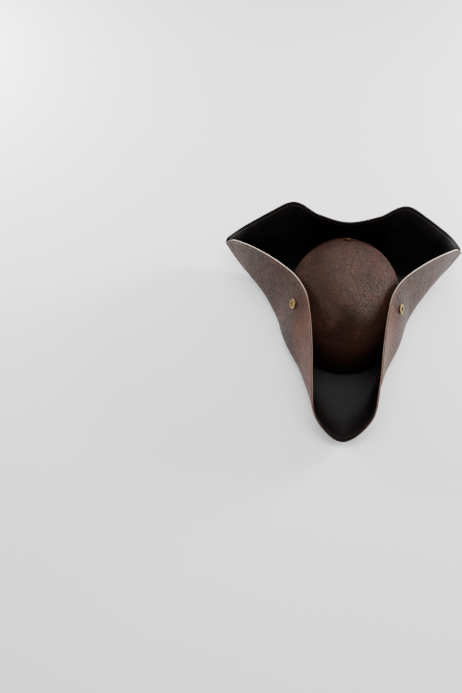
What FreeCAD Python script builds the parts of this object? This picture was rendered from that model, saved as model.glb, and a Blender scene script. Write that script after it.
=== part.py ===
"""Three-cornered pirate hat: moulded crown, laminated brim and press-stud fastened side flaps.

Frame: origin at the centre of the head opening, +Z up, the front flap faces -Y,
the back spout points along +Y and the hat is symmetric about X = 0.  Millimetres.
"""
import FreeCAD, Part
import math
import os
import Sketcher
from FreeCAD import Placement, Rotation, Vector

DOC = FreeCAD.newDocument("PirateHat")

# Driving dimensions: alias, millimetres (or a plain ratio), what it is.
SIZES = [
    ("crown_half_width", 86.5, "crown outside, half width at the base"),
    ("crown_half_length", 103.0, "crown outside, half length at the base"),
    ("crown_height", 111.0, "crown outside, height above the head opening"),
    ("crown_fullness", 2.8, "exponent of the crown's rounded-square profile"),
    ("leather_thick", 1.0, "grained leather ply"),
    ("core_thick", 0.9, "stiff middle ply"),
    ("lining_thick", 0.6, "black lining ply"),
    ("ply_gap", 0.1, "room left between two plies"),
    ("sweatband_thick", 1.0, "sweatband inside the opening"),
    ("sweatband_tall", 30.0, "height of the sweatband"),
    ("sweatband_drop", 1.2, "room between sweatband and crown lining"),
    ("binding_thick", 1.3, "flat binding under the crown's lower edge"),
    ("binding_set_back", 0.8, "from the brim's inner edge in to the binding"),
    ("brim_half_width", 88.6, "brim's inner edge, half width"),
    ("brim_half_length", 105.2, "brim's inner edge, half length"),
    ("fold_sharpness", 1.7, "how tightly the brim turns up at its fold"),
    ("hug_distance", 5.2, "brim's middle surface to the crown where a flap lies against it"),
    ("hug_softness", 3.0, "length over which a flap eases onto the crown"),
    ("flap_cut_height", 7.0, "level at which a side flap starts to bend out"),
    ("flap_cut_gap", 0.7, "slit between a side flap and the rest of the brim"),
    ("cap_radius", 7.3, "press-stud cap, outside radius"),
    ("cap_thick", 1.7, "press-stud cap, height of its ring"),
    ("cap_dish_radius", 3.2, "dished middle of the cap"),
    ("cap_dish_floor", 0.6, "metal left under the dish"),
    ("cap_round", 0.6, "rounding of the cap's rim"),
    ("barrel_radius", 2.2, "barrel of the cap and of the eyelet"),
    ("barrel_hole_radius", 2.35, "hole punched for a barrel"),
    ("socket_radius", 5.8, "press-stud socket, outside radius"),
    ("socket_thick", 1.9, "height of the socket"),
    ("socket_bore_radius", 3.3, "bore that takes the stud"),
    ("socket_floor", 0.4, "metal left above the bore"),
    ("stud_flange_radius", 5.2, "stud, radius of its flange"),
    ("stud_flange_thick", 0.5, "stud, thickness of its flange"),
    ("stud_post_radius", 2.8, "stud, radius of the post in the socket"),
    ("stud_post_tall", 1.9, "stud, height of the post above its flange"),
    ("eyelet_flange_radius", 5.0, "eyelet inside the crown, radius of its flange"),
    ("eyelet_flange_thick", 0.6, "eyelet flange thickness"),
    ("tack_radius", 6.0, "covered tack button, radius"),
    ("tack_thick", 2.4, "covered tack button, height"),
    ("tack_round", 1.0, "rounding of the tack button"),
    ("tack_height", 95.0, "height of the tack on the crown's front shoulder"),
    ("thread_radius", 0.7, "tack thread"),
    ("washer_radius", 5.5, "tack washer inside the crown"),
    ("washer_thick", 0.8, "tack washer thickness"),
]

# Brim stations, one row each: name, angle round the head opening from the front (degrees),
# brim edge x, y, z, then the fold's control point x, y, z.  The other side is their mirror.
STATIONS = [
    ("dip", 0, (0, -98, 102), (0, -119, -6)),
    ("rise", 22, (44, -102, 112), (40, -113, -6)),
    ("hump", 42, (89, -111, 126), (74, -93, -8)),
    ("fall", 51, (115, -108, 109), (95, -83, -9)),
    ("wing_upper", 58, (140, -108, 87), (115, -76, -10)),
    ("wing_front", 64, (164, -112, 60), (131, -76, -12)),
    ("tip_front", 68, (183, -123, 26), (142, -77, -13)),
    ("tip_back", 72, (186, -115, 23), (147, -73, -13)),
    ("wing_back", 76, (175, -101, 46), (146, -66, -14)),
    ("flap_front", 83, (151, -72, 74), (136, -49, -13)),
    ("flap_rise", 92, (115, -37, 93), (118, -19, -12)),
    ("flap_top", 102, (82, -4, 101), (104, 10, -10)),
    ("flap_snap", 114, (62, 27, 102), (98, 36, -9)),
    ("flap_fall", 127, (54, 60, 97), (88, 64, -8)),
    ("flap_back", 141, (49, 103, 82), (71, 98, -8)),
    ("spout_side", 154, (46, 150, 58), (56, 131, -10)),
    ("spout_corner", 166, (39, 187, 29), (38, 160, -12)),
    ("spout_tip", 180, (0, 212, 4), (0, 176, -12)),
]

SIDES = (("left", 1), ("right", -1))   # the wearer facing -Y has the left flap at +X
SNAP_ANGLE = 115.0      # brim station of the press studs
SNAP_REACH = 0.915      # how far along that station's line the press studs sit
GRID_ROWS = 13          # lines from the head opening to the brim's edge
GRID_EXTRA = 3          # lines past each end, so that the two halves meet smoothly
VALLEY_ANGLE = 70.0     # line of the brim that runs down the wing's valley to its tip

# Brim lines out from the head opening, in degrees: closer together round the wing's tip.
GRID_ANGLES = list(range(0, 60, 5)) + list(range(60, 80, 2)) + list(range(80, 181, 5))


def make_sheets():
    """Keep every driving dimension in a spreadsheet under its own alias."""
    sizes = DOC.addObject("Spreadsheet::Sheet", "Sizes")
    for row, (alias, value, note) in enumerate(SIZES, start=1):
        sizes.set(f"A{row}", note)
        sizes.set(f"B{row}", str(value))
        sizes.setAlias(f"B{row}", alias)
    stations = DOC.addObject("Spreadsheet::Sheet", "Stations")
    for row, (name, angle, edge, fold) in enumerate(STATIONS, start=1):
        stations.set(f"A{row}", name)
        labels = ("angle", "edge_x", "edge_y", "edge_z", "fold_x", "fold_y", "fold_z")
        for column, label, value in zip("BCDEFGH", labels, (angle, *edge, *fold)):
            stations.set(f"{column}{row}", str(value))
            stations.setAlias(f"{column}{row}", f"{name}_{label}")
    DOC.recompute()
    return sizes, stations


SHEET, STATION_SHEET = make_sheets()


VALUES = {alias: float(SHEET.get(alias)) for alias, _, _ in SIZES}


def size(alias):
    """A driving dimension as the spreadsheet holds it."""
    return VALUES[alias]


def station(name, label):
    """One cell of a brim station's row."""
    return float(STATION_SHEET.get(f"{name}_{label}"))


# ---------------------------------------------------------------- brim surface

def station_rows():
    """All stations of the whole brim from -180 to 180 degrees, with one more at each end."""
    half = []
    for name, _, _, _ in STATIONS:
        edge = Vector(*(station(name, label) for label in ("edge_x", "edge_y", "edge_z")))
        fold = Vector(*(station(name, label) for label in ("fold_x", "fold_y", "fold_z")))
        half.append((station(name, "angle"), edge, fold))
    other = [(-a, Vector(-e.x, e.y, e.z), Vector(-f.x, f.y, f.z)) for a, e, f in half]
    rows = sorted(other[1:] + half, key=lambda row: row[0])
    before = (rows[-2][0] - 360.0, rows[-2][1], rows[-2][2])
    after = (rows[1][0] + 360.0, rows[1][1], rows[1][2])
    return [before] + rows + [after]


ROWS = station_rows()


def smooth_row(angle, item):
    """Cubic through the stations, with slopes from each station's two neighbours."""
    index = 1
    while index < len(ROWS) - 3 and angle > ROWS[index + 1][0]:
        index += 1
    knots = [ROWS[index + shift][0] for shift in (-1, 0, 1, 2)]
    points = [ROWS[index + shift][item] for shift in (-1, 0, 1, 2)]

    def slope(i):
        before = (points[i] - points[i - 1]) / (knots[i] - knots[i - 1])
        after = (points[i + 1] - points[i]) / (knots[i + 1] - knots[i])
        span = knots[i + 1] - knots[i - 1]
        return before * ((knots[i + 1] - knots[i]) / span) + after * ((knots[i] - knots[i - 1]) / span)

    span = knots[2] - knots[1]
    t = (angle - knots[1]) / span
    start = 2 * t ** 3 - 3 * t ** 2 + 1
    leave = t ** 3 - 2 * t ** 2 + t
    arrive = t ** 3 - t ** 2
    return points[1] * start + slope(1) * (leave * span) + points[2] * (1 - start) + slope(2) * (arrive * span)


def crown_shrink(z, height):
    """How much narrower the crown is at height z than at its base."""
    share = min(max(z, 0.0) / height, 0.999)
    power = size("crown_fullness")
    return (1.0 - share ** power) ** (1.0 / power)


def smooth_step(value):
    value = min(max(value, 0.0), 1.0)
    return value * value * (3.0 - 2.0 * value)


def hug_crown(point):
    """Push a point of the brim out until it clears the crown, so that flaps lie against it."""
    radius = math.hypot(point.x, point.y)
    across, along = point.x / radius, point.y / radius
    oval = math.hypot(across / size("crown_half_width"), along / size("crown_half_length"))
    nearest = crown_shrink(point.z, size("crown_height")) / oval + size("hug_distance")
    softness = size("hug_softness")
    short = (nearest - radius) / softness
    push = softness * (max(short, 0.0) + math.log1p(math.exp(-abs(short))))
    radius += push * smooth_step((point.z - 4.0) / 16.0)
    return Vector(across * radius, along * radius, point.z)


def brim_point(angle, reach):
    """Middle surface of the brim: reach 0 is at the crown, 1 at the brim's edge."""
    turn = math.radians(angle)
    base = Vector(size("brim_half_width") * math.sin(turn), -size("brim_half_length") * math.cos(turn), 0)
    edge, fold = smooth_row(angle, 1), smooth_row(angle, 2)
    near, far = (1 - reach) ** 2, reach ** 2
    pull = 2 * reach * (1 - reach) * size("fold_sharpness")
    return hug_crown((base * near + fold * pull + edge * far) / (near + pull + far))


def brim_normal(angle, reach):
    """Unit normal of the middle surface, towards the lining: up and in to the crown."""
    step, nudge = 0.25, 0.002
    low, high = max(reach - nudge, 0.0), min(reach + nudge, 1.0)
    round_way = brim_point(angle + step, reach) - brim_point(angle - step, reach)
    out_way = brim_point(angle, high) - brim_point(angle, low)
    normal = out_way.cross(round_way)
    if abs(angle) < 0.01 or abs(abs(angle) - 180.0) < 0.01:
        normal.x = 0.0
    return normal.normalize()


def curve_through(points, parameters):
    """Cubic through the points at given parameters, so that lines share their knots."""
    curve = Part.BSplineCurve()
    curve.interpolate(Points=points, Parameters=[float(value) for value in parameters])
    return curve


def offset_point(angle, reach, offset):
    """Point at a signed distance from the middle surface, for any angle."""
    if angle < 0.0 or angle > 180.0:
        other = -angle if angle < 0.0 else 360.0 - angle
        point = offset_point(other, reach, offset)
        return Vector(-point.x, point.y, point.z)
    return brim_point(angle, reach) + brim_normal(angle, reach) * offset


def offset_face(offset):
    """Face of the brim's +X half at a signed distance from the middle surface."""
    before = [-angle for angle in GRID_ANGLES[GRID_EXTRA:0:-1]]
    after = [360 - angle for angle in GRID_ANGLES[-2:-2 - GRID_EXTRA:-1]]
    angles = before + GRID_ANGLES + after
    steps = range(GRID_ROWS)
    lines = []
    for angle in angles:
        points = [offset_point(angle, step / (GRID_ROWS - 1), offset) for step in steps]
        lines.append(curve_through(points, steps))
    poles = range(1, lines[0].NbPoles + 1)
    rows = [curve_through([line.getPole(pole) for line in lines], angles) for pole in poles]
    grid = [[row.getPole(pole) for row in rows] for pole in range(1, rows[0].NbPoles + 1)]
    surface = Part.BSplineSurface()
    surface.buildFromPolesMultsKnots(
        grid, rows[0].getMultiplicities(), lines[0].getMultiplicities(),
        rows[0].getKnots(), lines[0].getKnots(), False, False, 3, 3)
    surface.segment(0, 180, 0, GRID_ROWS - 1)
    return surface.toShape()


def half_ply(low, high):
    """The brim ply's +X half between two distances from the middle surface."""
    under, upper = offset_face(low), offset_face(high)
    sides = []
    for edges in zip(under.Edges, upper.Edges):
        pair = [edge.Curve.toShape(edge.FirstParameter, edge.LastParameter) for edge in edges]
        sides.append(Part.makeRuledSurface(pair[0], pair[1], 1))
    shell = Part.makeShell([under, upper] + sides)
    shell.sewShape()
    return Part.Solid(shell)


def mirrored(shape):
    """The same shape on the hat's other side."""
    return shape.mirror(Vector(0, 0, 0), Vector(1, 0, 0))


def flap_zone(inset):
    """Block that holds the +X side flap: behind the wing's valley and above the cut level."""
    inner, tip = brim_point(VALLEY_ANGLE, 0.7), brim_point(VALLEY_ANGLE, 1.0)
    run = Vector(tip.x - inner.x, tip.y - inner.y, 0).normalize()
    behind = Vector(-run.y, run.x, 0) * inset
    far = 300.0
    outline = [tip - run * far, tip + run * 80.0, Vector(far, far, 0), Vector(-far, far, 0)]
    floor = Part.Face(Part.makePolygon([Vector(p.x, p.y, 0) + behind for p in outline + outline[:1]]))
    floor.translate(Vector(0, 0, size("flap_cut_height") + inset))
    return floor.extrude(Vector(0, 0, far))


# ---------------------------------------------------------------- sub-part makers

def feature(label, shape):
    """Sub-part whose shape comes from a formula."""
    item = DOC.addObject("Part::Feature", label)
    item.Label = label
    item.Shape = shape
    item.Placement = Placement()
    return item


def solid_dome(inset):
    """Solid dome whose surface lies an inset inside the crown's outer surface."""
    height, half_width = size("crown_height") - inset, size("crown_half_width") - inset
    power = 2.0 / size("crown_fullness")
    steps = 14
    points = []
    for step in range(steps + 1):
        turn = 0.5 * math.pi * step / steps
        flat = math.cos(turn) ** power if step < steps else 0.0
        points.append(Vector(half_width * flat, 0, height * math.sin(turn) ** power))
    curve = Part.BSplineCurve()
    curve.interpolate(Points=points, InitialTangent=Vector(0, 0, 1), FinalTangent=Vector(-1, 0, 0))
    centre = Vector(0, 0, 0)
    section = Part.Wire([curve.toShape(), Part.makeLine(points[-1], centre), Part.makeLine(centre, points[0])])
    round_dome = Part.Face(section).revolve(centre, Vector(0, 0, 1), 360)
    stretch = FreeCAD.Matrix()
    stretch.A22 = (size("crown_half_length") - inset) / half_width
    return Part.Solid(round_dome).transformGeometry(stretch)


def crown_ply(label, depth, thick, holes):
    """Dome-shaped ply whose outside lies depth inside the crown's outer surface."""
    dome = solid_dome(depth).cut(solid_dome(depth + thick))
    for hole in holes:
        dome = dome.cut(hole)
    return feature(label, dome)


def oval_ring(label, half_width, half_length, wall, tall, level):
    """Oval band: an outer and an inner oval extrusion, one cut from the other."""
    blanks = []
    for name, inset in (("outer", "0"), ("inner", wall)):
        oval = DOC.addObject("Part::Ellipse", f"{label}_{name}_oval")
        oval.setExpression("MajorRadius", f"{half_length} - {inset}")
        oval.setExpression("MinorRadius", f"{half_width} - {inset}")
        oval.Placement = Placement(Vector(0, 0, level), Rotation(Vector(0, 0, 1), 90))
        blank = DOC.addObject("Part::Extrusion", f"{label}_{name}_blank")
        blank.Base = oval
        blank.Dir = Vector(0, 0, 1)
        blank.DirMode = "Custom"
        blank.Solid = True
        blank.setExpression("LengthFwd", tall)
        blanks.append(blank)
    ring = DOC.addObject("Part::Cut", label)
    ring.Label = label
    ring.Base, ring.Tool = blanks
    return ring


def turned(label, outline, placement, rounding=None):
    """PartDesign body turned about its own Z axis from (radius, height) pairs of expressions."""
    body = DOC.addObject("PartDesign::Body", label)
    body.Label = label
    plane = [item for item in body.Origin.OriginFeatures if item.Role == "XZ_Plane"][0]
    sketch = body.newObject("Sketcher::SketchObject", f"{label}_section")
    sketch.AttachmentSupport = (plane, [""])
    sketch.MapMode = "FlatFace"
    count = len(outline)
    corners = [Vector(SHEET.evalExpression(r), SHEET.evalExpression(z), 0) for r, z in outline]
    for index in range(count):
        sketch.addGeometry(Part.LineSegment(corners[index], corners[(index + 1) % count]))
    for index in range(count):
        sketch.addConstraint(Sketcher.Constraint("Coincident", index, 2, (index + 1) % count, 1))
    for index, (radius, height) in enumerate(outline):
        for kind, text, axis in (("DistanceX", radius, -2), ("DistanceY", height, -1)):
            if text == "0":
                sketch.addConstraint(Sketcher.Constraint("PointOnObject", index, 1, axis))
                continue
            value = corners[index].x if kind == "DistanceX" else corners[index].y
            where = sketch.addConstraint(Sketcher.Constraint(kind, -1, 1, index, 1, value))
            sketch.setExpression(f"Constraints[{where}]", text)
    spin = body.newObject("PartDesign::Revolution", f"{label}_turned")
    spin.Profile = sketch
    spin.ReferenceAxis = (sketch, ["V_Axis"])
    spin.Angle = 360
    DOC.recompute()
    if rounding:
        rim = max(spin.Shape.Edges, key=lambda edge: (round(edge.BoundBox.ZMax, 3), edge.Length))
        name = f"Edge{[edge.isSame(rim) for edge in spin.Shape.Edges].index(True) + 1}"
        fillet = body.newObject("PartDesign::Fillet", f"{label}_rim")
        fillet.Base = (spin, [name])
        fillet.setExpression("Radius", rounding)
        DOC.recompute()
    body.Placement = placement
    return body


def along(point, axis):
    """Placement that puts a turned piece's foot at a point and its axis along a direction."""
    return Placement(point, Rotation(Vector(0, 0, 1), axis))


def pin_hole(point, axis, radius):
    """Straight hole right through whatever lies near the point."""
    reach = 9.0
    return Part.makeCylinder(radius, 2 * reach, point - axis * reach, axis)


def crown_level(point):
    """Below 1 inside the crown's outer surface, above 1 outside."""
    power = size("crown_fullness")
    oval = math.hypot(point.x / size("crown_half_width"), point.y / size("crown_half_length"))
    return oval ** power + (max(point.z, 0.0) / size("crown_height")) ** power


def crown_hit(point, axis):
    """Where a line from outside meets the crown's outer surface, going against the axis."""
    near, far = 0.0, 40.0
    for _ in range(40):
        middle = 0.5 * (near + far)
        if crown_level(point - axis * middle) > 1.0:
            near = middle
        else:
            far = middle
    return point - axis * near


def crown_normal(point):
    """Outward unit normal of the crown's surface."""
    nudge = 0.01
    steps = (Vector(nudge, 0, 0), Vector(0, nudge, 0), Vector(0, 0, nudge))
    return Vector(*(crown_level(point + step) - crown_level(point - step) for step in steps)).normalize()


# ---------------------------------------------------------------- where the fasteners sit

BRIM_HALF = 0.5 * (size("leather_thick") + size("core_thick") + size("lining_thick")) + size("ply_gap")
CROWN_WALL = size("leather_thick") + size("core_thick") + size("lining_thick") + 2 * size("ply_gap")


def snap_line(sign):
    """Press stud: its middle on the flap, its axis out of the hat, its foot on the crown."""
    middle = brim_point(SNAP_ANGLE, SNAP_REACH)
    axis = brim_normal(SNAP_ANGLE, SNAP_REACH) * -1.0
    foot = crown_hit(middle, axis)
    return [Vector(sign * v.x, v.y, v.z) for v in (middle, axis, foot)]


def tack_line():
    """Tack: its foot on the crown's front shoulder and its axis square to the crown."""
    level = size("tack_height")
    foot = Vector(0, -size("crown_half_length") * crown_shrink(level, size("crown_height")), level)
    return foot, crown_normal(foot)


SNAPS = {side: snap_line(sign) for side, sign in SIDES}
TACK_FOOT, TACK_AXIS = tack_line()


# ---------------------------------------------------------------- crown and opening

def make_crown():
    holes = [pin_hole(foot, axis, size("barrel_hole_radius")) for _, axis, foot in SNAPS.values()]
    holes.append(pin_hole(TACK_FOOT, TACK_AXIS, size("thread_radius") + size("ply_gap")))
    depth = 0.0
    for ply, alias in (("leather", "leather_thick"), ("interlining", "core_thick"), ("lining", "lining_thick")):
        crown_ply(f"crown_{ply}", depth, size(alias), holes)
        depth += size(alias) + size("ply_gap")


def make_opening():
    wall = "(Sizes.leather_thick + Sizes.core_thick + Sizes.lining_thick + 2 * Sizes.ply_gap)"
    width = f"Sizes.crown_half_width - {wall} - Sizes.sweatband_drop"
    length = f"Sizes.crown_half_length - {wall} - Sizes.sweatband_drop"
    oval_ring("sweatband", width, length, "Sizes.sweatband_thick", "Sizes.sweatband_tall", 0.0)
    edge = "Sizes.binding_set_back"
    level = -size("binding_thick") - size("ply_gap")
    oval_ring("opening_binding", f"Sizes.brim_half_width - {edge}", f"Sizes.brim_half_length - {edge}",
              f"({wall} + Sizes.sweatband_drop + 2 * Sizes.ply_gap)", "Sizes.binding_thick", level)


# ---------------------------------------------------------------- brim and its two side flaps

def make_brim():
    middle, axis, _ = SNAPS["left"]
    hole = pin_hole(middle, axis, size("barrel_hole_radius"))
    half_gap = 0.5 * size("flap_cut_gap")
    zone, kept = flap_zone(-half_gap), flap_zone(half_gap)
    low = -BRIM_HALF
    for ply, alias in (("leather", "leather_thick"), ("core", "core_thick"), ("lining", "lining_thick")):
        half = half_ply(low, low + size(alias))
        floor, flap = half.cut(zone), half.common(kept).cut(hole)
        feature(f"brim_{ply}", floor.fuse(mirrored(floor)))
        feature(f"left_flap_{ply}", flap)
        feature(f"right_flap_{ply}", mirrored(flap))
        low += size(alias) + size("ply_gap")


# ---------------------------------------------------------------- press studs and tack

def make_press_stud(side):
    middle, axis, foot = SNAPS[side]
    outside = middle + axis * (BRIM_HALF + size("ply_gap"))
    inside = middle - axis * (BRIM_HALF + size("ply_gap"))
    half_ply = "(Sizes.leather_thick + Sizes.core_thick + Sizes.lining_thick) / 2 + Sizes.ply_gap"
    barrel = f"2 * ({half_ply}) + 2 * Sizes.ply_gap"
    rim = f"{barrel} + Sizes.cap_thick"
    floor = f"{barrel} + Sizes.cap_dish_floor"
    cap = [("0", "0"), ("Sizes.barrel_radius", "0"), ("Sizes.barrel_radius", barrel), ("Sizes.cap_radius", barrel),
           ("Sizes.cap_radius", rim), ("Sizes.cap_dish_radius", rim), ("Sizes.cap_dish_radius", floor),
           ("0", floor)]
    turned(f"{side}_snap_cap", cap, along(inside, axis), "Sizes.cap_round")
    bore = "Sizes.socket_thick - Sizes.socket_floor"
    socket = [("Sizes.socket_bore_radius", "0"), ("Sizes.socket_radius", "0"),
              ("Sizes.socket_radius", "Sizes.socket_thick"), ("0", "Sizes.socket_thick"), ("0", bore),
              ("Sizes.socket_bore_radius", bore)]
    lowest = inside - axis * (size("socket_thick") + 2 * size("ply_gap"))
    turned(f"{side}_snap_socket", socket, along(lowest, axis))
    flange = "Sizes.stud_flange_thick"
    top = f"{flange} + Sizes.stud_post_tall"
    stud = [("0", "0"), ("Sizes.stud_flange_radius", "0"), ("Sizes.stud_flange_radius", flange),
            ("Sizes.stud_post_radius", flange), ("Sizes.stud_post_radius", top), ("0", top)]
    stud_foot = foot + axis * 2.5 * size("ply_gap")
    turned(f"{side}_snap_stud", stud, along(stud_foot, axis))
    plate = "Sizes.eyelet_flange_thick"
    through = f"{plate} + {CROWN_WALL} + 7 * Sizes.ply_gap"
    eyelet = [("0", "0"), ("Sizes.eyelet_flange_radius", "0"), ("Sizes.eyelet_flange_radius", plate),
              ("Sizes.barrel_radius", plate), ("Sizes.barrel_radius", through), ("0", through)]
    depth = size("eyelet_flange_thick") + CROWN_WALL + 5 * size("ply_gap")
    turned(f"{side}_snap_eyelet", eyelet, along(foot - axis * depth, axis))


def make_tack():
    button = [("0", "0"), ("Sizes.tack_radius", "0"), ("Sizes.tack_radius", "Sizes.tack_thick"),
              ("0", "Sizes.tack_thick")]
    turned("front_tack_button", button, along(TACK_FOOT + TACK_AXIS * 0.5, TACK_AXIS), "Sizes.tack_round")
    washer = [("0", "0"), ("Sizes.washer_radius", "0"), ("Sizes.washer_radius", "Sizes.washer_thick"),
              ("0", "Sizes.washer_thick")]
    depth = CROWN_WALL + size("washer_thick") + 0.7
    turned("front_tack_washer", washer, along(TACK_FOOT - TACK_AXIS * depth, TACK_AXIS))
    length = CROWN_WALL + 1.2
    thread = [("0", "0"), ("Sizes.thread_radius", "0"), ("Sizes.thread_radius", f"{length}"), ("0", f"{length}")]
    turned("front_tack_thread", thread, along(TACK_FOOT - TACK_AXIS * (CROWN_WALL + 0.7), TACK_AXIS))


make_crown()
make_opening()
make_brim()
for side, _ in SIDES:
    make_press_stud(side)
make_tack()
DOC.recompute()

PARTS = ["crown_leather", "crown_interlining", "crown_lining", "sweatband", "opening_binding",
         "brim_leather", "brim_core", "brim_lining", "front_tack_button", "front_tack_washer", "front_tack_thread"]
for side, _ in SIDES:
    PARTS += [f"{side}_flap_leather", f"{side}_flap_core", f"{side}_flap_lining"]
    PARTS += [f"{side}_snap_{piece}" for piece in ("cap", "socket", "stud", "eyelet")]

for item in DOC.Objects:
    if "Invalid" in item.State or "Error" in item.State:
        raise RuntimeError(f"{item.Label} did not recompute: {item.State}")

os.makedirs("parts", exist_ok=True)
for label in PARTS:
    shape = DOC.getObjectsByLabel(label)[0].Shape
    if shape.isNull() or not shape.isValid() or not shape.Solids:
        raise RuntimeError(f"{label} has no valid solid")
    shape.exportStep(f"parts/{label}.step")
    print(f"{label}: {len(shape.Solids)} solid, {shape.Volume:.0f} cubic mm")
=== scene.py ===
"""Looks of a three-cornered pirate hat: leather, lining, cream core edge, topstitching and brass studs."""
import math

import bmesh
import bpy
from bpy.props import FloatProperty, FloatVectorProperty, IntProperty, PointerProperty
from mathutils import Matrix, Vector, noise


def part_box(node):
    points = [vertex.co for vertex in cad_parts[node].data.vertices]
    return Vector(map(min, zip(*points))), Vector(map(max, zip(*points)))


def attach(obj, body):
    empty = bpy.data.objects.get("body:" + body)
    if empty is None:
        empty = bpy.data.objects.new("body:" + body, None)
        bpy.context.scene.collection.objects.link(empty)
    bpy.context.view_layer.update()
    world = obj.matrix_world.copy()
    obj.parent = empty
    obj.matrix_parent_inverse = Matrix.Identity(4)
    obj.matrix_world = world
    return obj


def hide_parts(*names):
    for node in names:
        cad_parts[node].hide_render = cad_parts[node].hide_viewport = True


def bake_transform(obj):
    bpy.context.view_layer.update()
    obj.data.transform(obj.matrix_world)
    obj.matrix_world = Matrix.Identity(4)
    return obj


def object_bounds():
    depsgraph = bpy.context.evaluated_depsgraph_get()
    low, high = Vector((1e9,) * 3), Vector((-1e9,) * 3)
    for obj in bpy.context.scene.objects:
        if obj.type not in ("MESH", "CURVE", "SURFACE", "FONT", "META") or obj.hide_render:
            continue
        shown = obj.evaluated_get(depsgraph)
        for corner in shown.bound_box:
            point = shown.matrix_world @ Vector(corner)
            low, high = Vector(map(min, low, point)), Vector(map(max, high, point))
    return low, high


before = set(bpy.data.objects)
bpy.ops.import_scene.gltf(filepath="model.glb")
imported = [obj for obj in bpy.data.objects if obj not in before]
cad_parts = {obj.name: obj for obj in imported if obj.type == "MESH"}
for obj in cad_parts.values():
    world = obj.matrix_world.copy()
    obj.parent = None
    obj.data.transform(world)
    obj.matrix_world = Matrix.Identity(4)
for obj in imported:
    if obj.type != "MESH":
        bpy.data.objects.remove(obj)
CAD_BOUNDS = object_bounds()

bl_info = {
    "name": "Pirate Hat",
    "version": (1, 0, 0),
    "blender": (4, 5, 0),
    "location": "View3D > Sidebar > Pirate Hat",
    "description": "Builds a leather three-cornered pirate hat on its CAD frame",
    "category": "Object",
}

MM = 0.001
CROWN_LOW, CROWN_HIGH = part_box("crown_leather")
SIDES = (("left", 1.0), ("right", -1.0))

# ---------------------------------------------------------------- brim surface, in millimetres

# One row each: angle round the head opening from the front in degrees, the brim's edge,
# and the control point of the fold.  The other side is their mirror.
STATIONS = (
    (0, (0, -98, 102), (0, -119, -6)),
    (22, (44, -102, 112), (40, -113, -6)),
    (42, (89, -111, 126), (74, -93, -8)),
    (51, (115, -108, 109), (95, -83, -9)),
    (58, (140, -108, 87), (115, -76, -10)),
    (64, (164, -112, 60), (131, -76, -12)),
    (68, (183, -123, 26), (142, -77, -13)),
    (72, (186, -115, 23), (147, -73, -13)),
    (76, (175, -101, 46), (146, -66, -14)),
    (83, (151, -72, 74), (136, -49, -13)),
    (92, (115, -37, 93), (118, -19, -12)),
    (102, (82, -4, 101), (104, 10, -10)),
    (114, (62, 27, 102), (98, 36, -9)),
    (127, (54, 60, 97), (88, 64, -8)),
    (141, (49, 103, 82), (71, 98, -8)),
    (154, (46, 150, 58), (56, 131, -10)),
    (166, (39, 187, 29), (38, 160, -12)),
    (180, (0, 212, 4), (0, 176, -12)),
)
VALLEY_ANGLE = 70.0     # the wing's valley, where a side flap ends
FOLD_SHARPNESS = 1.7
HUG_DISTANCE, HUG_SOFTNESS = 5.2, 3.0
BRIM_INNER = (88.6, 105.2)
PLY_LEVELS = {"leather": (-1.35, -0.35), "core": (-0.25, 0.65), "lining": (0.75, 1.35)}
SPLIT_REACH = 0.5       # line between the brim's floor and its flaps
FLOOR_ROWS = 16         # rows of faces from the crown to that line
RISE_ROWS = 18          # rows of faces from that line to the rows along the edge
EDGE_ROWS = (11.0, 8.6, 7.2, 6.4, 5.8, 5.2, 4.6, 3.8, 2.4, 1.0, 0.0)   # distances from the edge


def all_stations():
    """Stations of the whole brim, with one more past each end."""
    half = [(float(a), Vector(e), Vector(f)) for a, e, f in STATIONS]
    mirrored = [(-a, Vector((-e.x, e.y, e.z)), Vector((-f.x, f.y, f.z))) for a, e, f in half[1:]]
    rows = sorted(mirrored + half, key=lambda row: row[0])
    return [(rows[-2][0] - 360.0, *rows[-2][1:])] + rows + [(rows[1][0] + 360.0, *rows[1][1:])]


ROWS = all_stations()


def smooth_rows(angle):
    """Edge and fold point at an angle: cubics through the stations."""
    index = 1
    while index < len(ROWS) - 3 and angle > ROWS[index + 1][0]:
        index += 1
    knots = [ROWS[index + shift][0] for shift in (-1, 0, 1, 2)]
    span = knots[2] - knots[1]
    t = (angle - knots[1]) / span
    leave, arrive = (t ** 3 - 2 * t ** 2 + t) * span, (t ** 3 - t ** 2) * span
    start = 2 * t ** 3 - 3 * t ** 2 + 1
    found = []
    for item in (1, 2):
        points = [ROWS[index + shift][item] for shift in (-1, 0, 1, 2)]
        slopes = []
        for i in (1, 2):
            before, after = knots[i] - knots[i - 1], knots[i + 1] - knots[i]
            steep = ((points[i] - points[i - 1]) * (after / before)
                     + (points[i + 1] - points[i]) * (before / after))
            slopes.append(steep / (before + after))
        found.append(points[1] * start + points[2] * (1 - start) + slopes[0] * leave + slopes[1] * arrive)
    return found


def smooth_step(value):
    value = min(max(value, 0.0), 1.0)
    return value * value * (3.0 - 2.0 * value)


def crown_shrink(level):
    """How much narrower the crown is at a height than at its base."""
    crown = bpy.context.scene.pirate_hat_crown
    share = min(max(level, 0.0) * MM / crown.height, 0.999)
    return (1.0 - share ** crown.fullness) ** (1.0 / crown.fullness)


def hug_crown(point):
    """Push a point of the brim out until it clears the crown."""
    crown = bpy.context.scene.pirate_hat_crown
    radius = math.hypot(point.x, point.y)
    across, along = point.x / radius, point.y / radius
    oval = math.hypot(across / crown.half_width, along / crown.half_length) * MM
    short = (crown_shrink(point.z) / oval + HUG_DISTANCE - radius) / HUG_SOFTNESS
    push = HUG_SOFTNESS * (max(short, 0.0) + math.log1p(math.exp(-abs(short))))
    radius += push * smooth_step((point.z - 4.0) / 16.0)
    return Vector((across * radius, along * radius, point.z))


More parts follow.
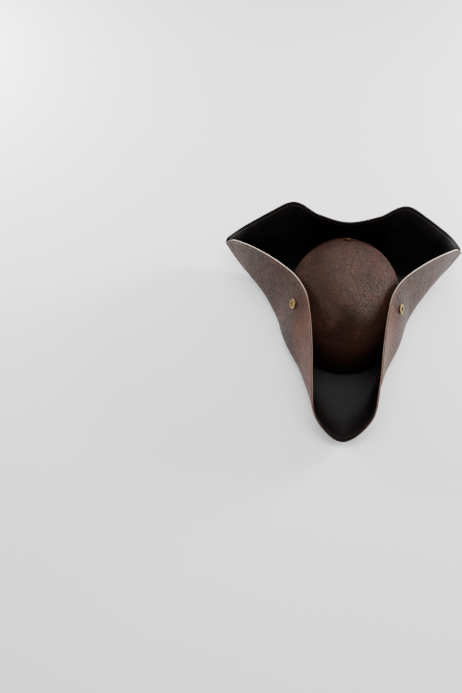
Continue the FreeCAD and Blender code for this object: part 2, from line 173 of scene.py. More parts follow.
class BrimLine:
    """One line of the brim, out from the crown to the edge, at an angle round the head opening."""

    def __init__(self, angle):
        if angle > 180.0:
            angle -= 360.0
        turn = math.radians(angle)
        self.base = Vector((BRIM_INNER[0] * math.sin(turn), -BRIM_INNER[1] * math.cos(turn), 0.0))
        self.edge, self.fold = smooth_rows(angle)

    def at(self, reach):
        near, far, pull = (1 - reach) ** 2, reach ** 2, 2 * reach * (1 - reach) * FOLD_SHARPNESS
        return hug_crown((self.base * near + self.fold * pull + self.edge * far) / (near + pull + far))


class BrimColumn:
    """A brim line with its neighbours, so that it knows its normals and its distances from the edge."""

    def __init__(self, angle):
        self.angle = angle
        self.line, self.before, self.after = BrimLine(angle), BrimLine(angle - 0.25), BrimLine(angle + 0.25)
        reaches = [1.0 - 0.01 * step for step in range(51)]
        points = [self.line.at(reach) for reach in reaches]
        self.steps = [(0.0, 1.0)]
        for reach, point, last in zip(reaches[1:], points[1:], points):
            self.steps.append((self.steps[-1][0] + (point - last).length, reach))

    def reach_from_edge(self, distance):
        """Reach of the point that lies a distance in from the edge."""
        for (near, outer), (far, inner) in zip(self.steps, self.steps[1:]):
            if distance <= far:
                return outer + (inner - outer) * (distance - near) / (far - near)
        return self.steps[-1][1]

    def edge_distance(self, reach):
        for (near, outer), (far, inner) in zip(self.steps, self.steps[1:]):
            if reach >= inner:
                return near + (far - near) * (outer - reach) / (outer - inner)
        return self.steps[-1][0] + 200.0 * (self.steps[-1][1] - reach)

    def row_reaches(self):
        """Reach of every row of the mesh, from the crown to the edge."""
        rows = [SPLIT_REACH * row / FLOOR_ROWS for row in range(FLOOR_ROWS)]
        length = self.steps[-1][0] - EDGE_ROWS[0]
        rise = [EDGE_ROWS[0] + length * (1 - row / RISE_ROWS) for row in range(RISE_ROWS)]
        return rows + [self.reach_from_edge(distance) for distance in rise + list(EDGE_ROWS)]

    def frame_at(self, reach):
        """Point of the middle surface and its normal towards the lining."""
        low, high = max(reach - 0.002, 0.0), min(reach + 0.002, 1.0)
        around = self.after.at(reach) - self.before.at(reach)
        outward = self.line.at(high) - self.line.at(low)
        return self.line.at(reach), outward.cross(around).normalized()


def softness(point, edge_distance):
    """Slow waves in the leather, in millimetres, fading out at the crown and at the edge."""
    wave = noise.noise(point * 0.021) * 0.9 + noise.noise(point * 0.055 + Vector((7, 3, 1))) * 0.35
    from_crown = math.hypot(point.x, point.y) - 92.0
    return wave * smooth_step(edge_distance / 30.0) * smooth_step(from_crown / 25.0)


def fold_over(angle):
    """Angle from the front, 0 to 180, on either side."""
    return abs(angle if angle <= 180.0 else angle - 360.0)


def brim_angles(first, last):
    """Angles of the mesh's lines: closer together round the wings' tips."""
    angles, angle = [first], first
    while angle < last - 1e-6:
        near_tip = 63.0 <= fold_over(angle) < 79.0
        angle = round(angle + (0.5 if near_tip else 1.0), 3)
        angles.append(min(angle, last))
    return angles


COLUMNS = {}


def column(angle):
    """The column at an angle, made once."""
    key = round(angle, 3)
    if key not in COLUMNS:
        COLUMNS[key] = BrimColumn(key)
    return COLUMNS[key]


ZONES = {
    "front_flap": ("root", -VALLEY_ANGLE, VALLEY_ANGLE, 0, None),
    "back_floor": ("root", VALLEY_ANGLE, 360.0 - VALLEY_ANGLE, 0, FLOOR_ROWS),
    "left_side_flap": ("left_flap", VALLEY_ANGLE, 180.0, FLOOR_ROWS, None),
    "right_side_flap": ("right_flap", 180.0, 360.0 - VALLEY_ANGLE, FLOOR_ROWS, None),
}


# ---------------------------------------------------------------- mesh helpers

def finish_piece(name, bm, material, body, replaces=()):
    """Turn a bmesh in millimetres into a shaded object, parented to its body only when that body is the root.
    """
    bmesh.ops.scale(bm, vec=(MM, MM, MM), verts=bm.verts)
    mesh = bpy.data.meshes.new(name)
    bm.to_mesh(mesh)
    bm.free()
    mesh.shade_smooth()
    mesh.materials.append(material)
    places = mesh.attributes.new("place", "FLOAT_VECTOR", "POINT")
    flat = [component for vertex in mesh.vertices for component in vertex.co]
    places.data.foreach_set("vector", flat)
    piece = bpy.data.objects.new(name, mesh)
    bpy.context.scene.collection.objects.link(piece)
    if body == "root":
        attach(piece, "root")
    else:
        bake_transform(piece)
    if replaces:
        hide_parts(*replaces)
    return piece


def spun(profile, steps, scale, closed=True):
    """Bmesh of a profile of (radius, height) corners spun round Z and stretched to an oval."""
    bm = bmesh.new()
    corners = [bm.verts.new((radius, 0, height)) for radius, height in profile]
    pairs = list(zip(corners, corners[1:]))
    if closed:
        pairs.append((corners[-1], corners[0]))
    for pair in pairs:
        bm.edges.new(pair)
    bmesh.ops.spin(bm, geom=bm.verts[:] + bm.edges[:], cent=(0, 0, 0), axis=(0, 0, 1),
                   angle=math.tau, steps=steps, use_merge=True)
    bmesh.ops.remove_doubles(bm, verts=bm.verts, dist=1e-4)
    bmesh.ops.scale(bm, vec=scale, verts=bm.verts)
    bmesh.ops.recalc_face_normals(bm, faces=bm.faces)
    return bm


def add_stitch(bm, place, along, normal, length, width):
    """One thread stitch: a long bead half sunk in the leather."""
    side = normal.cross(along).normalized()
    turn = Matrix((along, side, normal)).transposed().to_4x4()
    size = Matrix.Diagonal((length / 2, width / 2, width / 2.4, 1))
    bmesh.ops.create_uvsphere(bm, u_segments=6, v_segments=5, radius=1.0,
                              matrix=(Matrix.Translation(place) @ turn @ size
                                      @ Matrix.Rotation(math.pi / 2, 4, "Y")))


def walk(points, pitch):
    """Evenly spaced (place, direction, share between two points, index) along a chain of points."""
    found, left = [], pitch / 2
    for index, (start, end) in enumerate(zip(points, points[1:])):
        gap = (end - start).length
        while left <= gap:
            found.append((start.lerp(end, left / gap), (end - start).normalized(), left / gap, index))
            left += pitch
        left -= gap
    return found


# ---------------------------------------------------------------- node helpers

def node(tree, kind, place, **inputs):
    """Add a node and set its inputs by name."""
    made = tree.nodes.new(kind)
    made.location = place
    for name, value in inputs.items():
        made.inputs[name.replace("_", " ")].default_value = value
    return made


def ramp(tree, place, source, stops):
    """Colour ramp from (position, colour) stops."""
    made = node(tree, "ShaderNodeValToRGB", place)
    made.color_ramp.elements[0].position, made.color_ramp.elements[1].position = stops[0][0], stops[-1][0]
    for position, _ in stops[1:-1]:
        made.color_ramp.elements.new(position)
    for element, (_, colour) in zip(made.color_ramp.elements, stops):
        element.color = (*colour, 1.0)
    tree.links.new(source, made.inputs["Fac"])
    return made.outputs["Color"]


def math_node(tree, place, operation, first, second):
    """Math node whose inputs are sockets or numbers."""
    made = node(tree, "ShaderNodeMath", place)
    made.operation = operation
    for socket, value in zip(made.inputs, (first, second)):
        if isinstance(value, (int, float)):
            socket.default_value = value
        else:
            tree.links.new(value, socket)
    return made.outputs["Value"]


def mix_colour(tree, place, factor, first, second, blend="MIX"):
    """Mix two colours, each a socket or a tuple."""
    made = tree.nodes.new("ShaderNodeMix")
    made.location = place
    made.data_type, made.blend_type = "RGBA", blend
    for socket, value in ((made.inputs[0], factor), (made.inputs[6], first), (made.inputs[7], second)):
        if isinstance(value, (int, float)):
            socket.default_value = value
        elif isinstance(value, tuple):
            socket.default_value = (*value, 1.0)
        else:
            tree.links.new(value, socket)
    return made.outputs[2]


def grain_group():
    """Leather grain: pebbles, the creases between them, long wrinkles and slow mottling."""
    name = "Leather grain"
    if name in bpy.data.node_groups:
        return bpy.data.node_groups[name]
    group = bpy.data.node_groups.new(name, "ShaderNodeTree")
    face = group.interface
    face.new_socket("Vector", in_out="INPUT", socket_type="NodeSocketVector")
    for label, value in (("Pebble Scale", 620.0), ("Wrinkle Scale", 120.0), ("Wrinkle Depth", 0.6)):
        socket = face.new_socket(label, in_out="INPUT", socket_type="NodeSocketFloat")
        socket.default_value = value
    for label in ("Height", "Crease", "Mottle"):
        face.new_socket(label, in_out="OUTPUT", socket_type="NodeSocketFloat")
    start = node(group, "NodeGroupInput", (-1400, 0))
    end = node(group, "NodeGroupOutput", (800, 0))
    link = group.links.new
    warp = node(group, "ShaderNodeTexNoise", (-1150, -260), Scale=260.0, Detail=2.0)
    shift = node(group, "ShaderNodeVectorMath", (-950, -260))
    shift.operation = "SCALE"
    shift.inputs["Scale"].default_value = 0.0016
    place = node(group, "ShaderNodeVectorMath", (-780, -100))
    place.operation = "ADD"
    link(start.outputs["Vector"], warp.inputs["Vector"])
    link(warp.outputs["Color"], shift.inputs[0])
    link(start.outputs["Vector"], place.inputs[0])
    link(shift.outputs[0], place.inputs[1])
    pebble = node(group, "ShaderNodeTexVoronoi", (-560, 160))
    pebble.feature = "DISTANCE_TO_EDGE"
    wrinkle = node(group, "ShaderNodeTexVoronoi", (-560, -120))
    wrinkle.feature = "DISTANCE_TO_EDGE"
    for texture, scale in ((pebble, "Pebble Scale"), (wrinkle, "Wrinkle Scale")):
        link(place.outputs[0], texture.inputs["Vector"])
        link(start.outputs[scale], texture.inputs["Scale"])
    mottle = node(group, "ShaderNodeTexNoise", (-560, -420), Scale=34.0, Detail=5.0, Roughness=0.62)
    link(start.outputs["Vector"], mottle.inputs["Vector"])
    fine = node(group, "ShaderNodeTexNoise", (-560, 420), Scale=1500.0, Detail=3.0)
    link(start.outputs["Vector"], fine.inputs["Vector"])
    round_top = math_node(group, (-340, 160), "MULTIPLY", pebble.outputs["Distance"], 3.2)
    capped = math_node(group, (-180, 160), "MINIMUM", round_top, 1.0)
    deep = math_node(group, (-340, -120), "MULTIPLY", wrinkle.outputs["Distance"], 9.0)
    cut = math_node(group, (-180, -120), "MINIMUM", deep, 1.0)
    weighted = math_node(group, (0, -120), "MULTIPLY", cut, start.outputs["Wrinkle Depth"])
    both = math_node(group, (180, 60), "ADD", capped, weighted)
    grit = math_node(group, (180, 300), "MULTIPLY", fine.outputs["Fac"], 0.35)
    link(math_node(group, (380, 60), "ADD", both, grit), end.inputs["Height"])
    link(math_node(group, (380, -120), "MULTIPLY", capped, cut), end.inputs["Crease"])
    link(mottle.outputs["Fac"], end.inputs["Mottle"])
    return group


def new_material(name):
    """Empty node material with its Principled shader."""
    material = bpy.data.materials.new(name)
    material.use_nodes = True
    tree = material.node_tree
    shader = next(n for n in tree.nodes if n.type == "BSDF_PRINCIPLED")
    return material, tree, shader


def grained(tree, coordinates, pebble, wrinkle, depth):
    """Place the grain group in a material."""
    made = node(tree, "ShaderNodeGroup", (-900, 0))
    made.node_tree = grain_group()
    made.inputs["Pebble Scale"].default_value = pebble
    made.inputs["Wrinkle Scale"].default_value = wrinkle
    made.inputs["Wrinkle Depth"].default_value = depth
    tree.links.new(coordinates, made.inputs["Vector"])
    return made


def attribute(tree, name, place, output="Vector"):
    made = node(tree, "ShaderNodeAttribute", place)
    made.attribute_name = name
    return made.outputs[output]


def bump(tree, shader, height, strength, distance):
    made = node(tree, "ShaderNodeBump", (-160, -320), Strength=strength, Distance=distance)
    tree.links.new(height, made.inputs["Height"])
    tree.links.new(made.outputs["Normal"], shader.inputs["Normal"])


def roughness_between(tree, shader, source, smooth, rough):
    """Roughness that runs between two values with a mask."""
    made = node(tree, "ShaderNodeMapRange", (-160, -60))
    made.inputs["To Min"].default_value = smooth
    made.inputs["To Max"].default_value = rough
    tree.links.new(source, made.inputs["Value"])
    tree.links.new(made.outputs["Result"], shader.inputs["Roughness"])


def brown_leather(name):
    """Dark red-brown leather: pebbled, with dark creases, tan rubbing at its edge, tan where it bends that is
    partly rubbing and partly a painted highlight, and painted shade round the crown's foot.
    """
    finish = bpy.context.scene.pirate_hat_finish
    material, tree, shader = new_material(name)
    grain = grained(tree, attribute(tree, "place", (-1200, 0)), 560.0, 105.0, 0.75)
    dark, mid, warm = (tuple(c) for c in (finish.leather_dark, finish.leather, finish.leather_warm))
    base = ramp(tree, (-640, 320), grain.outputs["Mottle"], ((0.34, dark), (0.52, mid), (0.68, warm)))
    creased = ramp(tree, (-640, 60), grain.outputs["Crease"], ((0.0, (0.42, 0.38, 0.36)), (0.7, (1, 1, 1))))
    shaded = mix_colour(tree, (-320, 260), 1.0, base, creased, "MULTIPLY")
    # Pale tan mixed in from the vertex attribute: rubbing, and a painted highlight along bends and raised
    # folds.
    wear_and_highlight = attribute(tree, "wear_and_highlight", (-640, 560), "Fac")
    patchy = math_node(tree, (-420, 560), "MULTIPLY", wear_and_highlight, grain.outputs["Mottle"])
    tan_and_lit_colour = mix_colour(tree, (-200, 320), patchy, shaded, tuple(finish.leather_tan_and_highlight))
    # Painted shade: the crown's leather darkens to near-black towards its foot, where the brim shades it.
    shade = attribute(tree, "shade", (-420, 760), "Fac")
    foot_shaded_colour = mix_colour(tree, (-20, 420), shade, tan_and_lit_colour, tuple(finish.painted_foot_shade))
    tree.links.new(foot_shaded_colour, shader.inputs["Base Color"])
    roughness_between(tree, shader, grain.outputs["Crease"], 0.55, 0.3)
    bump(tree, shader, grain.outputs["Height"], 0.9, 0.0009)
    shader.inputs["Specular IOR Level"].default_value = 0.26
    shader.inputs["Specular Tint"].default_value = (0.95, 0.62, 0.50, 1.0)
    return material


def black_lining(name):
    """Near-black lining: fine close grain, faint brown mottling, a little gloss."""
    finish = bpy.context.scene.pirate_hat_finish
    material, tree, shader = new_material(name)
    grain = grained(tree, attribute(tree, "place", (-1200, 0)), 900.0, 60.0, 0.5)
    lining, warm = tuple(finish.lining), tuple(finish.lining_warm)
    base = ramp(tree, (-640, 320), grain.outputs["Mottle"], ((0.38, lining), (0.66, warm)))
    creased = ramp(tree, (-640, 60), grain.outputs["Crease"], ((0.0, (0.6, 0.6, 0.6)), (0.6, (1, 1, 1))))
    tree.links.new(mix_colour(tree, (-320, 260), 1.0, base, creased, "MULTIPLY"), shader.inputs["Base Color"])
    roughness_between(tree, shader, grain.outputs["Mottle"], 0.42, 0.62)
    bump(tree, shader, grain.outputs["Height"], 0.3, 0.0003)
    shader.inputs["Specular IOR Level"].default_value = 0.12
    return material


def core_edge(name):
    """Cream fibre core, stained darker away from the wings' tips."""
    finish = bpy.context.scene.pirate_hat_finish
    material, tree, shader = new_material(name)
    place = attribute(tree, "place", (-1000, 0))
    fibres = node(tree, "ShaderNodeTexNoise", (-760, -120), Scale=1400.0, Detail=4.0, Roughness=0.7)
    blotch = node(tree, "ShaderNodeTexNoise", (-760, 160), Scale=70.0, Detail=3.0)
    tree.links.new(place, fibres.inputs["Vector"])
    tree.links.new(place, blotch.inputs["Vector"])
    stain = attribute(tree, "stain", (-760, 420), "Fac")
    uneven = math_node(tree, (-560, 160), "MULTIPLY_ADD", blotch.outputs["Fac"], 0.3)
    tree.links.new(stain, uneven.node.inputs[2])
    stops = ((0.1, tuple(finish.core)), (0.55, tuple(finish.core_tan)), (1.0, tuple(finish.core_dark)))
    base = ramp(tree, (-380, 160), uneven, stops)
    speck = ramp(tree, (-380, -120), fibres.outputs["Fac"], ((0.3, (0.72, 0.7, 0.68)), (0.65, (1, 1, 1))))
    tree.links.new(mix_colour(tree, (-120, 120), 1.0, base, speck, "MULTIPLY"), shader.inputs["Base Color"])
    roughness_between(tree, shader, fibres.outputs["Fac"], 0.78, 0.95)
    bump(tree, shader, fibres.outputs["Fac"], 0.5, 0.0003)
    return material


def sewing_thread(name, colour):
    """Waxed thread with a fine twist, its grooves painted darker as shade."""
    material, tree, shader = new_material(name)
    place = attribute(tree, "place", (-900, 0))
    twist = node(tree, "ShaderNodeTexWave", (-660, 0), Scale=1900.0, Distortion=2.0, Detail=1.0)
    tree.links.new(place, twist.inputs["Vector"])
    # Painted shade: the twist's grooves are coloured darker than its ridges.
    dark = tuple(0.55 * c for c in colour)
    tree.links.new(ramp(tree, (-400, 100), twist.outputs["Fac"], ((0.2, dark), (0.8, tuple(colour)))),
                   shader.inputs["Base Color"])
    roughness_between(tree, shader, twist.outputs["Fac"], 0.7, 0.5)
    bump(tree, shader, twist.outputs["Fac"], 0.5, 0.0002)
    return material


def antique_brass(name):
    """Brass with brown patina in patches and fine wear."""
    finish = bpy.context.scene.pirate_hat_finish
    material, tree, shader = new_material(name)
    place = node(tree, "ShaderNodeTexCoord", (-1000, 0)).outputs["Object"]
    patches = node(tree, "ShaderNodeTexNoise", (-760, 120), Scale=420.0, Detail=5.0, Roughness=0.65)
    scratches = node(tree, "ShaderNodeTexNoise", (-760, -160), Scale=2600.0, Detail=2.0)
    tree.links.new(place, patches.inputs["Vector"])
    tree.links.new(place, scratches.inputs["Vector"])
    stops = ((0.38, tuple(finish.brass_dark)), (0.56, tuple(finish.brass)))
    tree.links.new(ramp(tree, (-420, 160), patches.outputs["Fac"], stops), shader.inputs["Base Color"])
    shader.inputs["Metallic"].default_value = 1.0
    roughness_between(tree, shader, patches.outputs["Fac"], 0.5, 0.26)
    bump(tree, shader, scratches.outputs["Fac"], 0.15, 0.0001)
    return material


def dark_washer(name):
    """Matt black moulded washer."""
    material, tree, shader = new_material(name)
    place = node(tree, "ShaderNodeTexCoord", (-800, 0)).outputs["Object"]
    pits = node(tree, "ShaderNodeTexNoise", (-560, 0), Scale=1500.0, Detail=3.0)
    tree.links.new(place, pits.inputs["Vector"])
    stops = ((0.35, (0.012, 0.012, 0.012)), (0.7, (0.028, 0.027, 0.026)))
    tree.links.new(ramp(tree, (-320, 100), pits.outputs["Fac"], stops), shader.inputs["Base Color"])
    roughness_between(tree, shader, pits.outputs["Fac"], 0.55, 0.75)
    bump(tree, shader, pits.outputs["Fac"], 0.2, 0.0001)
    return material


def shared(maker, name, *arguments):
    """The material of that name, made the first time that it is asked for."""
    return bpy.data.materials.get(name) or maker(name, *arguments)


# ---------------------------------------------------------------- user's sizes and colours

class PIRATEHAT_PG_crown(bpy.types.PropertyGroup):
    """Sizes of the moulded crown."""

    half_width: FloatProperty(name="Half width", description="Half the crown's width at its base",
                              default=(CROWN_HIGH[0] - CROWN_LOW[0]) / 2, unit="LENGTH")
    half_length: FloatProperty(name="Half length", description="Half the crown's length at its base",
                               default=(CROWN_HIGH[1] - CROWN_LOW[1]) / 2, unit="LENGTH")
    height: FloatProperty(name="Height", description="Height of the crown above the head opening",
                          default=CROWN_HIGH[2], unit="LENGTH")
    fullness: FloatProperty(name="Fullness", description="2 is a plain dome, more has squarer shoulders",
                            default=2.8, min=2.0, max=6.0)
    puckers: IntProperty(name="Puckers", description="Gathers that run out from the front tack", default=11)
    pucker_depth: FloatProperty(name="Pucker depth", description="Depth of those gathers at the tack",
                                default=0.0017, unit="LENGTH")


class PIRATEHAT_PG_brim(bpy.types.PropertyGroup):
    """Sizes of the brim and its topstitching."""

    stitch_inset: FloatProperty(name="Stitch inset", description="Stitching's distance from the edge",
                                default=0.0055, unit="LENGTH")
    stitch_pitch: FloatProperty(name="Stitch pitch", description="From one stitch to the next",
                                default=0.0044, unit="LENGTH")
    stitch_length: FloatProperty(name="Stitch length", description="Length of thread that shows",
                                 default=0.0032, unit="LENGTH")
    thread_width: FloatProperty(name="Thread width", description="Thickness of the thread",
                                default=0.0007, unit="LENGTH")
    bend_low: FloatProperty(name="Bend from", description="Height at which an opened flap starts to bend",
                            default=0.020, unit="LENGTH")
    bend_high: FloatProperty(name="Bend to", description="Height above which it moves as one",
                             default=0.064, unit="LENGTH")


def colour_property(label, about, value):
    return FloatVectorProperty(name=label, description=about, default=value, subtype="COLOR",
                               min=0.0, max=1.0)


class PIRATEHAT_PG_finish(bpy.types.PropertyGroup):
    """Colours of leather, lining, core, thread and metal."""

    leather: colour_property("Leather", "Main colour of the leather", (0.032, 0.0092, 0.0055))
    leather_dark: colour_property("Leather dark", "Leather in its darkest patches", (0.015, 0.0048, 0.0032))
    leather_warm: colour_property("Leather warm", "Leather in its reddest patches", (0.062, 0.0170, 0.0098))
    # Pale tan used both for rubbed leather and as a painted highlight on bends and raised folds.
    leather_tan_and_highlight: colour_property("Leather worn", "Leather rubbed at bends and edges", (0.205, 0.074, 0.044))
    # Painted shade: the colour that the crown's leather darkens to round its foot.
    painted_foot_shade: colour_property("Leather shade", "Leather dyed dark round the crown's foot",
                                   (0.0045, 0.0022, 0.0018))
    lining: colour_property("Lining", "Black lining", (0.0045, 0.0042, 0.0046))
    lining_warm: colour_property("Lining warm", "Lining where a brown tone shows", (0.011, 0.0072, 0.0066))
    core: colour_property("Core", "Fresh cut edge of the core", (0.86, 0.78, 0.66))
    core_tan: colour_property("Core tan", "Core edge with some stain", (0.42, 0.25, 0.19))
    core_dark: colour_property("Core dark", "Core edge dyed to match the leather", (0.035, 0.016, 0.012))
    thread: colour_property("Thread", "Topstitching on the leather", (0.17, 0.095, 0.060))
    lining_thread: colour_property("Lining thread", "Topstitching on the lining", (0.135, 0.100, 0.080))
    brass: colour_property("Brass", "Rubbed brass", (0.24, 0.150, 0.055))
    brass_dark: colour_property("Brass dark", "Brass under patina", (0.07, 0.040, 0.016))


# ---------------------------------------------------------------- crown

def crown_profile(depth):
    """Corners of the crown's outline from base to top, as shares of radius and millimetres of height."""
    crown = bpy.context.scene.pirate_hat_crown
    steps, power = 96, 2.0 / crown.fullness
    corners = []
    for step in range(steps + 1):
        turn = 0.5 * math.pi * step / steps
        corners.append((math.cos(turn) ** power if step < steps else 0.0,
                        (crown.height / MM - depth) * math.sin(turn) ** power))
    return corners


def tack_frame():
    """Place of the front tack on the crown, the crown's normal there, and two ways across it."""
    crown = bpy.context.scene.pirate_hat_crown
    low, high = (Vector(corner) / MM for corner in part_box("front_tack_button"))
    middle = (low + high) / 2
    power = crown.fullness
    across = crown.half_length / MM
    tall = crown.height / MM
    outward = -abs(middle.y) ** (power - 1) / across ** power
    normal = Vector((0, outward, middle.z ** (power - 1) / tall ** power))
    normal.normalize()
    return middle, normal, Vector((1, 0, 0)), normal.cross(Vector((1, 0, 0)))


def pucker(point, tack):
    """How far the leather is gathered in or out round the tack, in millimetres."""
    crown = bpy.context.scene.pirate_hat_crown
    middle, normal, across, down = tack
    away = point - middle
    spread, drop = away.dot(across), away.dot(down)
    distance = math.hypot(spread, drop)
    if distance > 60.0 or away.dot(normal) < -30.0:
        return 0.0
    turn = math.atan2(spread, drop)
    jitter = 0.8 * noise.noise(Vector((math.cos(turn) * 2, math.sin(turn) * 2, 5.0)))
    folds = math.cos(crown.puckers * (turn + jitter * 0.35))
    ripple = crown.pucker_depth / MM * folds * math.exp(-distance / 17.0) * smooth_step(distance / 7.0)
    return ripple - 1.5 * math.exp(-(distance / 8.5) ** 2)


class PIRATEHAT_OT_crown(bpy.types.Operator):
    """Build the crown's leather and its lining"""

    bl_idname = "pirate_hat.crown"
    bl_label = "Crown"

    def execute(self, context):
        crown = context.scene.pirate_hat_crown
        wide, long = crown.half_width / MM, crown.half_length / MM
        tack = tack_frame()
        self.dome("crown_leather_skin", wide, long, 0.0, 1.0, tack,
                  shared(brown_leather, "Brown leather"), ("crown_leather", "crown_interlining"),
                  "brown_leather")
        self.dome("crown_lining_skin", wide, long, 2.1, 0.6, None,
                  shared(black_lining, "Black lining"), ("crown_lining",), "black_lining")
        return {"FINISHED"}

    def dome(self, name, wide, long, depth, thick, tack, material, nodes, record_slot):
        outer = [(share * (wide - depth), height) for share, height in crown_profile(depth)]
        inner = [(share * (wide - depth - thick), height) for share, height in crown_profile(depth + thick)]
        bm = spun(outer + inner[::-1], 216, (1, (long - depth) / (wide - depth), 1), closed=False)
        ends = [edge for edge in bm.edges if edge.is_boundary]
        if ends:
            bmesh.ops.bridge_loops(bm, edges=ends)
        bmesh.ops.recalc_face_normals(bm, faces=bm.faces)
        bm.normal_update()
        moves = {}
        for vert in bm.verts:
            away = (vert.co - Vector((0, 0, 30))).normalized()
            shift = noise.noise(vert.co * 0.024) * 0.7 * smooth_step(vert.co.z / 30.0)
            if tack:
                shift += pucker(vert.co, tack)
            moves[vert] = away * shift
        for vert, move in moves.items():
            vert.co += move
        wear_and_highlight, shade = bm.verts.layers.float.new("wear_and_highlight"), bm.verts.layers.float.new("shade")
        for vert in bm.verts:
            # Raised gathers round the tack are made pale tan: rubbing plus a painted highlight on their
            # ridges.
            vert[wear_and_highlight] = 0.35 * smooth_step(pucker(vert.co, tack)) if tack else 0.0
            # Painted shade: the crown darkens towards its foot, where the brim shades it.
            vert[shade] = 0.94 * (1.0 - smooth_step((vert.co.z - 6.0) / 62.0))
        finish_piece(name, bm, material, "root", nodes)


# ---------------------------------------------------------------- brim

def stain_at(angle):
    """How dark the core's cut edge is: cream at the wings' tips, tan along the flaps, dark at the spout."""
    folded = fold_over(angle)
    if folded < VALLEY_ANGLE:
        return smooth_step((VALLEY_ANGLE - folded) / 9.0)
    return 0.45 * smooth_step((folded - 104.0) / 22.0) + 0.45 * smooth_step((folded - 152.0) / 25.0)


class PIRATEHAT_OT_brim(bpy.types.Operator):
    """Build the brim's leather, core and lining, in four zones: the front flap, the back floor and the two
    side flaps
    """

    bl_idname = "pirate_hat.brim"
    bl_label = "Brim"

    def execute(self, context):
        for zone, (body, first, last, low_row, high_row) in ZONES.items():
            lines = [column(angle) for angle in brim_angles(first, last)]
            grid = self.sample(lines, low_row, high_row)
            for ply, (low, high) in PLY_LEVELS.items():
                self.build(zone, ply, body, grid, low, high, high_row is None)
        return {"FINISHED"}

    def sample(self, lines, low_row, high_row):
        """Point, normal, edge distance, tan rubbing with painted highlight, and stain of every corner of a
        zone.
        """
        grid = []
        for line in lines:
            reaches = line.row_reaches()[low_row:None if high_row is None else high_row + 1]
            corners = []
            for reach in reaches:
                point, normal = line.frame_at(reach)
                distance = line.edge_distance(reach)
                corners.append((point + normal * softness(point, distance), normal, distance))
            grid.append(corners)
        return [[corner + (self.wear_and_highlight(lines, grid, i, j), stain_at(lines[i].angle))
                 for j, corner in enumerate(corners)]
                for i, corners in enumerate(grid)]

    def wear_and_highlight(self, lines, grid, i, j):
        """How tan the leather is painted: rubbing along the edge and beside the spout, and at tight outward
        bends rubbing with a painted highlight.
        """
        before, after = grid[max(i - 2, 0)][j], grid[min(i + 2, len(grid) - 1)][j]
        gap = (after[0] - before[0]).length
        # Painted highlight: tight outward bends turn pale tan, as light caught on the fold as well as
        # rubbing.
        bend = (after[1] - before[1]).dot(before[0] - after[0]) / max(gap * gap, 1e-6)
        angle, edge_distance = fold_over(lines[i].angle), grid[i][j][2]
        edge = 0.55 * (1.0 - smooth_step(edge_distance / 2.5)) * smooth_step((angle - 66.0) / 6.0)
        back = 0.5 * smooth_step((angle - 112.0) / 22.0) * smooth_step((172.0 - angle) / 12.0)
        back *= 1.0 - smooth_step((edge_distance - 34.0) / 50.0)
        return min(max(smooth_step((bend - 0.012) / 0.05), edge, back), 1.0)

    def build(self, zone, ply, body, grid, low, high, has_rim):
        """One ply of one zone: a grid laid on the brim, given its thickness and a softened rim."""
        across, along = len(grid) - 1, len(grid[0]) - 1
        bm = bmesh.new()
        bmesh.ops.create_grid(bm, x_segments=across, y_segments=along, size=1.0)
        column_of, row_of = bm.verts.layers.int.new("column"), bm.verts.layers.int.new("row")
        upper = bm.verts.layers.int.new("upper")
        for vert in bm.verts:
            vert[column_of] = round((vert.co.x + 1) / 2 * across)
            vert[row_of] = round((vert.co.y + 1) / 2 * along)
        made = bmesh.ops.extrude_face_region(bm, geom=bm.faces[:], use_keep_orig=True)
        for vert in made["geom"]:
            if isinstance(vert, bmesh.types.BMVert):
                vert[upper] = 1
        wear_and_highlight, stain = bm.verts.layers.float.new("wear_and_highlight"), bm.verts.layers.float.new("stain")
        for vert in bm.verts:
            point, normal, distance, rubbed_and_lit, stained = grid[vert[column_of]][vert[row_of]]
            groove = 0.22 * math.exp(-((distance - 5.5) / 0.7) ** 2)
            level = high if vert[upper] else low
            if (ply, vert[upper]) in (("leather", 0), ("lining", 1)):
                level -= math.copysign(groove, level)
            vert.co = point + normal * level
            vert[wear_and_highlight], vert[stain] = rubbed_and_lit, stained
        bmesh.ops.recalc_face_normals(bm, faces=bm.faces)
        if has_rim:
            self.soften_rim(bm, row_of, upper, along, min(0.3, (high - low) * 0.35))
        normals = self.corner_normals(bm, grid, column_of, row_of, upper)
        names = {"leather": ("Brown leather", brown_leather, "brown_leather"),
                 "core": ("Core edge", core_edge, "brim_core"),
                 "lining": ("Black lining", black_lining, "black_lining")}
        label, maker, record_slot = names[ply]
        stands_for = {"front_flap": f"brim_{ply}", "left_side_flap": f"left_flap_{ply}",
                      "right_side_flap": f"right_flap_{ply}"}.get(zone)
        piece = finish_piece(f"{zone}_{ply}", bm, shared(maker, label), body,
                             (stands_for,) if stands_for else ())
        piece.data.normals_split_custom_set(normals)

    def soften_rim(self, bm, row_of, upper, last_row, radius):
        """Round the two long edges of the brim's cut edge."""
        rim = [edge for edge in bm.edges
               if all(vert[row_of] == last_row for vert in edge.verts)
               and edge.verts[0][upper] == edge.verts[1][upper]]
        bmesh.ops.bevel(bm, geom=rim, offset=radius, segments=2, profile=0.5, affect="EDGES", material=-1,
                        clamp_overlap=True)

    def corner_normals(self, bm, grid, column_of, row_of, upper):
        """Normals of the smooth surface on the two broad sides, so that zones meet without a line."""
        normals = []
        for face in bm.faces:
            broad = (len({vert[row_of] for vert in face.verts}) == 2
                     and len({vert[upper] for vert in face.verts}) == 1)
            broad = broad and len({vert[column_of] for vert in face.verts}) == 2
            for loop in face.loops:
                if broad:
                    normal = grid[loop.vert[column_of]][loop.vert[row_of]][1]
                    normals.append(tuple(normal if normal.dot(face.normal) > 0 else -normal))
                else:
                    normals.append((0.0, 0.0, 0.0))
        return normals


# ---------------------------------------------------------------- topstitching

